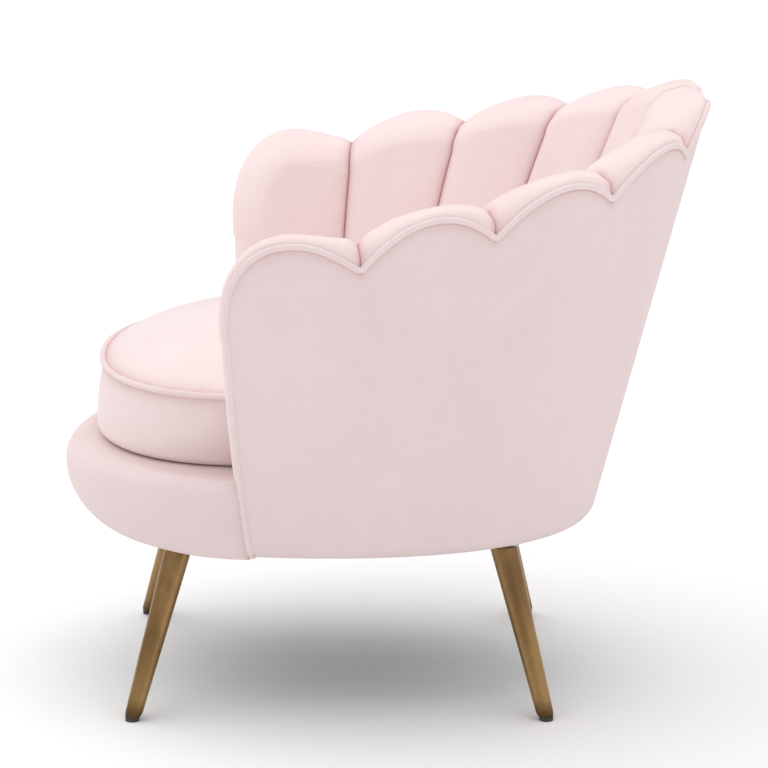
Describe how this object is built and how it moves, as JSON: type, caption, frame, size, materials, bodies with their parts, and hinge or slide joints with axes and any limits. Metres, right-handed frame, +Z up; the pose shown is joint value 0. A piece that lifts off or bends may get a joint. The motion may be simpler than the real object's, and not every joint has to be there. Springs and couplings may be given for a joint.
{
  "type": "petal tub chair",
  "caption": "Round-fronted upholstered tub chair with a scalloped petal back, rolled rim, loose boxed seat cushion and splayed tapered legs.",
  "frame": {"origin": "on the floor, midway between the two sides and between front and back", "axes": "+Z up, -Y the way the sitter faces, +X the sitter's left"},
  "size_m": [0.8368, 0.8291, 0.7752],
  "materials": {
    "shell_velvet": "short pile velvet",
    "petal_velvet": "short pile velvet",
    "cushion_velvet": "short pile velvet",
    "piping_velvet": "short pile velvet over cord",
    "deck_cloth": "plain woven lining",
    "dust_cloth": "thin non-woven",
    "strap_webbing": "elastic webbing",
    "frame_wood": "raw birch plywood",
    "leg_brass": "brushed, antiqued",
    "fixing_steel": "zinc plated",
    "glide_nylon": "matt nylon"
  },
  "bodies": {
    "chair": {"petal_pad_left_1": "petal_velvet", "petal_pad_left_2": "petal_velvet", "petal_pad_left_3": "petal_velvet", "petal_pad_left_4": "petal_velvet", "petal_pad_left_5": "petal_velvet", "rim_roll_left": "petal_velvet", "rim_piping_left": "piping_velvet", "wing_facing_left": "shell_velvet", "back_rib_left_1": "frame_wood", "back_rib_left_2": "frame_wood", "back_rib_left_3": "frame_wood", "back_rib_left_4": "frame_wood", "back_rib_left_5": "frame_wood", "back_boards_left": "frame_wood", "base_board_left": "frame_wood", "seat_rail_left": "frame_wood", "leg_front_left": "leg_brass", "leg_rear_left": "leg_brass", "petal_pad_right_1": "petal_velvet", "petal_pad_right_2": "petal_velvet", "petal_pad_right_3": "petal_velvet", "petal_pad_right_4": "petal_velvet", "petal_pad_right_5": "petal_velvet", "rim_roll_right": "petal_velvet", "rim_piping_right": "piping_velvet", "wing_facing_right": "shell_velvet", "back_rib_right_1": "frame_wood", "back_rib_right_2": "frame_wood", "back_rib_right_3": "frame_wood", "back_rib_right_4": "frame_wood", "back_rib_right_5": "frame_wood", "back_boards_right": "frame_wood", "base_board_right": "frame_wood", "seat_rail_right": "frame_wood", "leg_front_right": "leg_brass", "leg_rear_right": "leg_brass", "back_rib_rear": "frame_wood", "outer_cover": "shell_velvet", "front_border": "shell_velvet", "base_board_front": "frame_wood", "seat_rail_front": "frame_wood", "base_board_rear": "frame_wood", "seat_rail_rear": "frame_wood", "corner_blocks": "frame_wood", "seat_straps_across": "strap_webbing", "seat_straps_along": "strap_webbing", "seat_deck": "deck_cloth", "foot_glides": "glide_nylon", "leg_studs": "fixing_steel", "leg_plates": "fixing_steel", "plate_screws": "fixing_steel", "dust_cover": "dust_cloth"},
    "cushion": {"seat_cushion": "cushion_velvet", "cushion_welt": "piping_velvet"}
  },
  "joints": [
    {"name": "cushion_lift", "type": "slide", "parent": "chair", "child": "cushion", "axis": [0, 0, 1], "range_m": [0, 0.46]}
  ]
}
